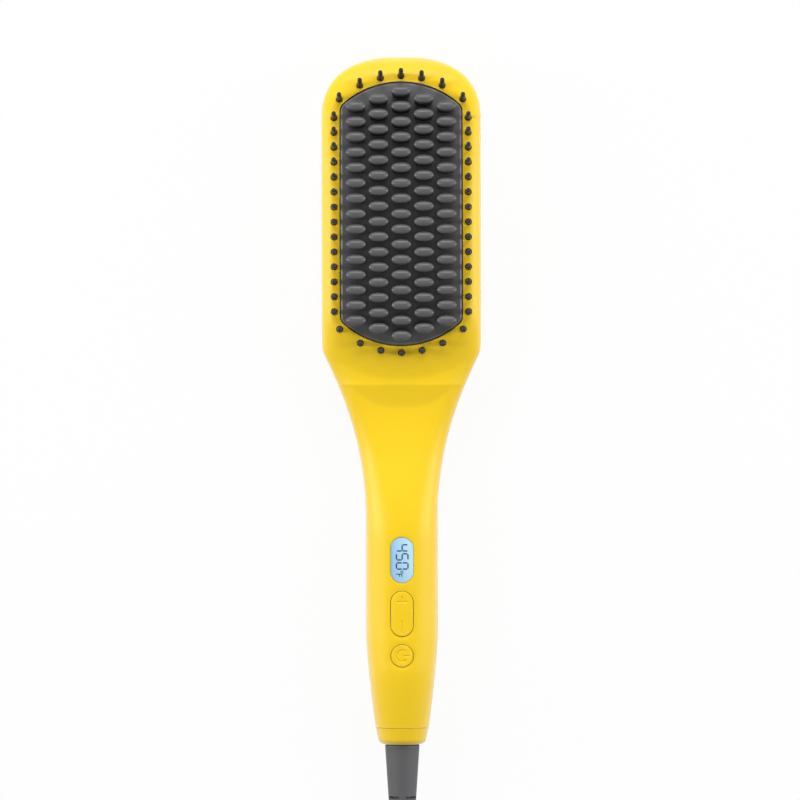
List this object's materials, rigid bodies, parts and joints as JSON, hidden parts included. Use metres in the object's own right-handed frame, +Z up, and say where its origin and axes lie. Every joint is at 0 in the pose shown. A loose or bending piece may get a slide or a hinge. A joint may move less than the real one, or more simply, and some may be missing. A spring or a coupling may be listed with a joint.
{
  "type": "heated straightening brush",
  "caption": "Hand-held heated hair-straightening brush with a toothed plate, guard pins, digital display, temperature key, power button and swivel cord.",
  "frame": {"origin": "on the table, under the middle of the brush's length and width", "axes": "+X across the brush, +Y along it towards the head's tip, +Z up out of the bristles"},
  "size_m": [0.0779, 0.5875, 0.0339],
  "materials": {
    "yellow_shell": "smooth glossy",
    "coated_plate": "dark ceramic coating",
    "tooth_tip": "satin heat-proof",
    "charcoal_nylon": "satin",
    "black_rubber": "matte",
    "steel": "plain",
    "mica_heater": "mica sheet",
    "brass": "plain",
    "display_window": "clear over a lit display",
    "lcd_glass": "smooth",
    "backlight": "diffusing",
    "black_plastic": "matte",
    "board": "solder mask",
    "electrical_parts": "sleeved",
    "light_wire": "insulated",
    "red_wire": "insulated",
    "grey_rubber": "satin"
  },
  "bodies": {
    "brush": {"front_shell": "yellow_shell", "rear_shell": "yellow_shell", "end_cap": "yellow_shell", "heated_plate": "coated_plate", "bristle_tips": "tooth_tip", "guard_pin_frame": "charcoal_nylon", "plate_seal": "black_rubber", "frame_screws": "steel", "heater_element": "mica_heater", "heater_clamp": "steel", "clamp_screws": "steel", "thermistor": "brass", "thermal_fuse": "steel", "heat_shield": "steel", "shield_screws": "steel", "shell_screws": "steel", "display_lens": "display_window", "lcd_panel": "lcd_glass", "backlight": "backlight", "key_pivot_pin": "steel", "key_frame": "black_plastic", "tact_switches": "black_plastic", "control_board": "board", "control_parts": "black_plastic", "power_board": "board", "power_parts": "electrical_parts", "board_screws": "steel", "board_link": "light_wire", "heater_leads": "red_wire", "sensor_leads": "light_wire", "slip_contacts": "brass", "contact_block": "black_plastic", "mains_leads": "black_rubber", "cord_lead": "grey_rubber", "cord_hank": "grey_rubber", "cord_tie": "black_plastic", "plug_body": "grey_rubber", "plug_blades": "brass"},
    "power_button": {"power_button": "yellow_shell"},
    "temperature_key": {"temperature_key": "yellow_shell"},
    "swivel": {"swivel_collar": "black_plastic", "slip_rings": "brass", "strain_relief": "grey_rubber"}
  },
  "joints": [
    {"name": "power_press", "type": "slide", "parent": "brush", "child": "power_button", "axis": [0, 0, -1], "range_m": [0, 0.0004], "stiffness_N_per_m": 4000, "springref_m": -0.0002},
    {"name": "temperature_key_rock", "type": "hinge", "parent": "brush", "child": "temperature_key", "pos_m": [0, -0.0893, 0.0232], "axis": [1, 0, 0], "range_deg": [-2, 2], "stiffness_Nm_per_rad": 0.3},
    {"name": "cord_swivel", "type": "hinge", "parent": "brush", "child": "swivel", "pos_m": [0, -0.1444, 0.0137], "axis": [0, 1, 0], "continuous": true}
  ]
}
